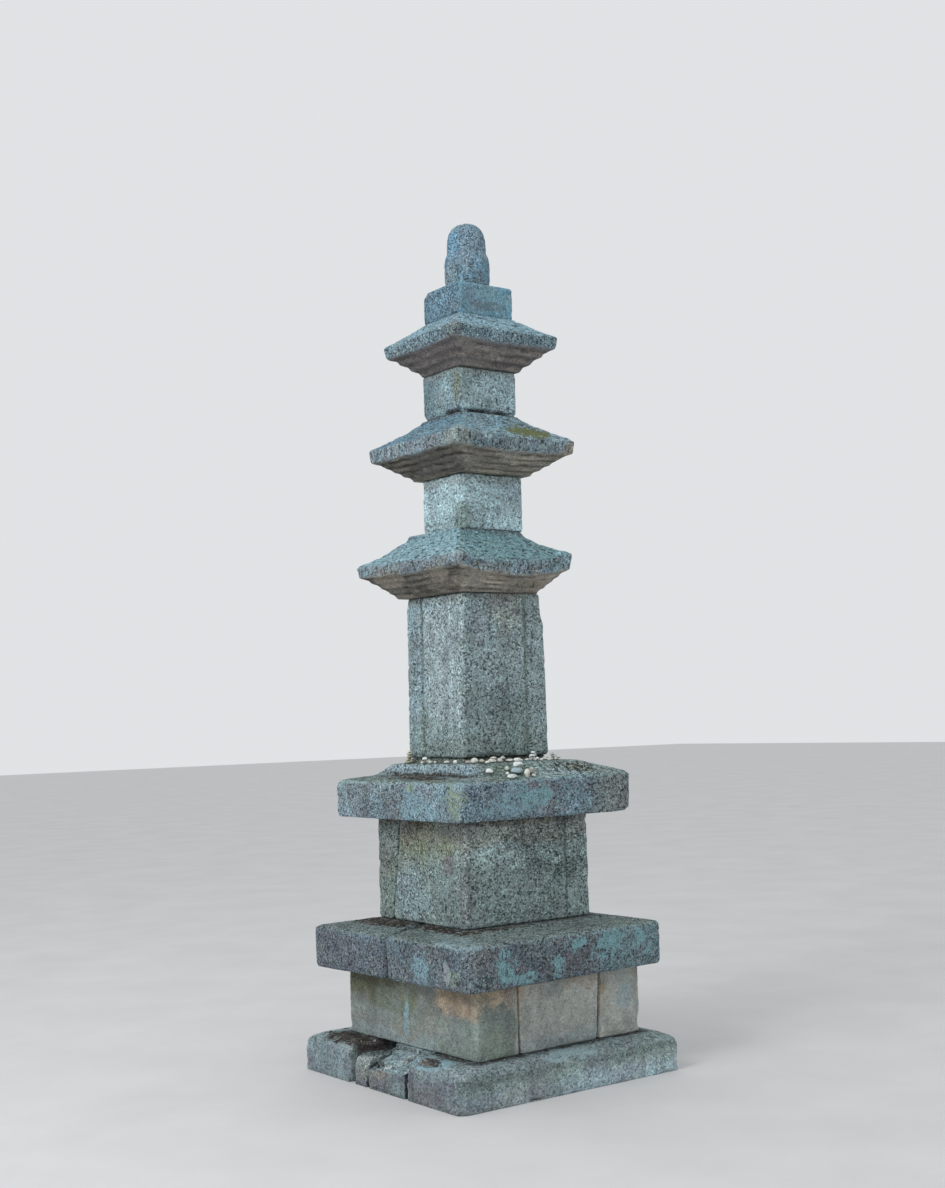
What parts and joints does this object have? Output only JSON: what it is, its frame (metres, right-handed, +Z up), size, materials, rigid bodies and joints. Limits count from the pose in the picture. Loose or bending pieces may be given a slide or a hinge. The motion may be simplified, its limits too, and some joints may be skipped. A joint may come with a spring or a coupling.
{
  "type": "stone pagoda",
  "caption": "Weathered granite pagoda with a square stepped platform, thick cap slabs, tall body blocks under wide stepped roofs, and a rounded finial on a square block.",
  "frame": {"origin": "centre of the ground course's outline, at the level of its underside", "axes": "+Z up the tower; the side with the long unbroken ground stone faces -Y, and the side with the broken ground stones faces -X"},
  "size_m": [1.428, 1.428, 4.613],
  "materials": {
    "ground_granite": "rough, rounded by wear, with pale lichen along the upper edge",
    "platform_granite": "rough, stained tan under the caps and green near the foot",
    "cap_granite": "rough, with blue-grey lichen patches and moss on top",
    "body_granite": "fine speckled granite, lightly stained",
    "roof_granite": "rough, pitted on top with blue-green lichen, brown underneath",
    "finial_granite": "rough, blue-grey with dark specks",
    "rubble_fill": "packed earth and broken stone",
    "votive_pebble": "smooth pale pebbles"
  },
  "bodies": {
    "root": {"ground_course_front": "ground_granite", "ground_course_back": "ground_granite", "ground_course_left_sliver": "ground_granite", "ground_course_left_spalled": "ground_granite", "ground_course_right": "ground_granite", "ground_course_packing": "rubble_fill", "lower_body_left": "platform_granite", "lower_body_front": "platform_granite", "lower_body_right": "platform_granite", "lower_body_back": "platform_granite", "lower_body_packing": "rubble_fill", "lower_cap_front": "cap_granite", "lower_cap_back": "cap_granite", "upper_body_main": "platform_granite", "upper_body_back": "platform_granite", "upper_cap": "cap_granite", "votive_stack_foot": "votive_pebble", "votive_stack_second": "votive_pebble", "votive_stack_third": "votive_pebble", "votive_stack_fourth": "votive_pebble", "votive_stack_head": "votive_pebble", "votive_left_cone": "votive_pebble", "votive_left_single": "votive_pebble", "votive_corner": "votive_pebble", "votive_front_first": "votive_pebble", "votive_front_second": "votive_pebble", "votive_front_third": "votive_pebble", "votive_slope_white": "votive_pebble", "votive_cairn_foot": "votive_pebble", "votive_cairn_middle": "votive_pebble", "votive_cairn_head": "votive_pebble", "votive_cairn_side": "votive_pebble", "votive_front_fourth": "votive_pebble", "votive_right_foot": "votive_pebble", "votive_right_head": "votive_pebble", "first_storey_body": "body_granite", "first_roof": "roof_granite", "second_storey_body": "body_granite", "second_roof": "roof_granite", "third_storey_body": "body_granite", "third_roof": "roof_granite", "finial_block": "finial_granite", "finial_bowl": "finial_granite"}
  },
  "joints": []
}
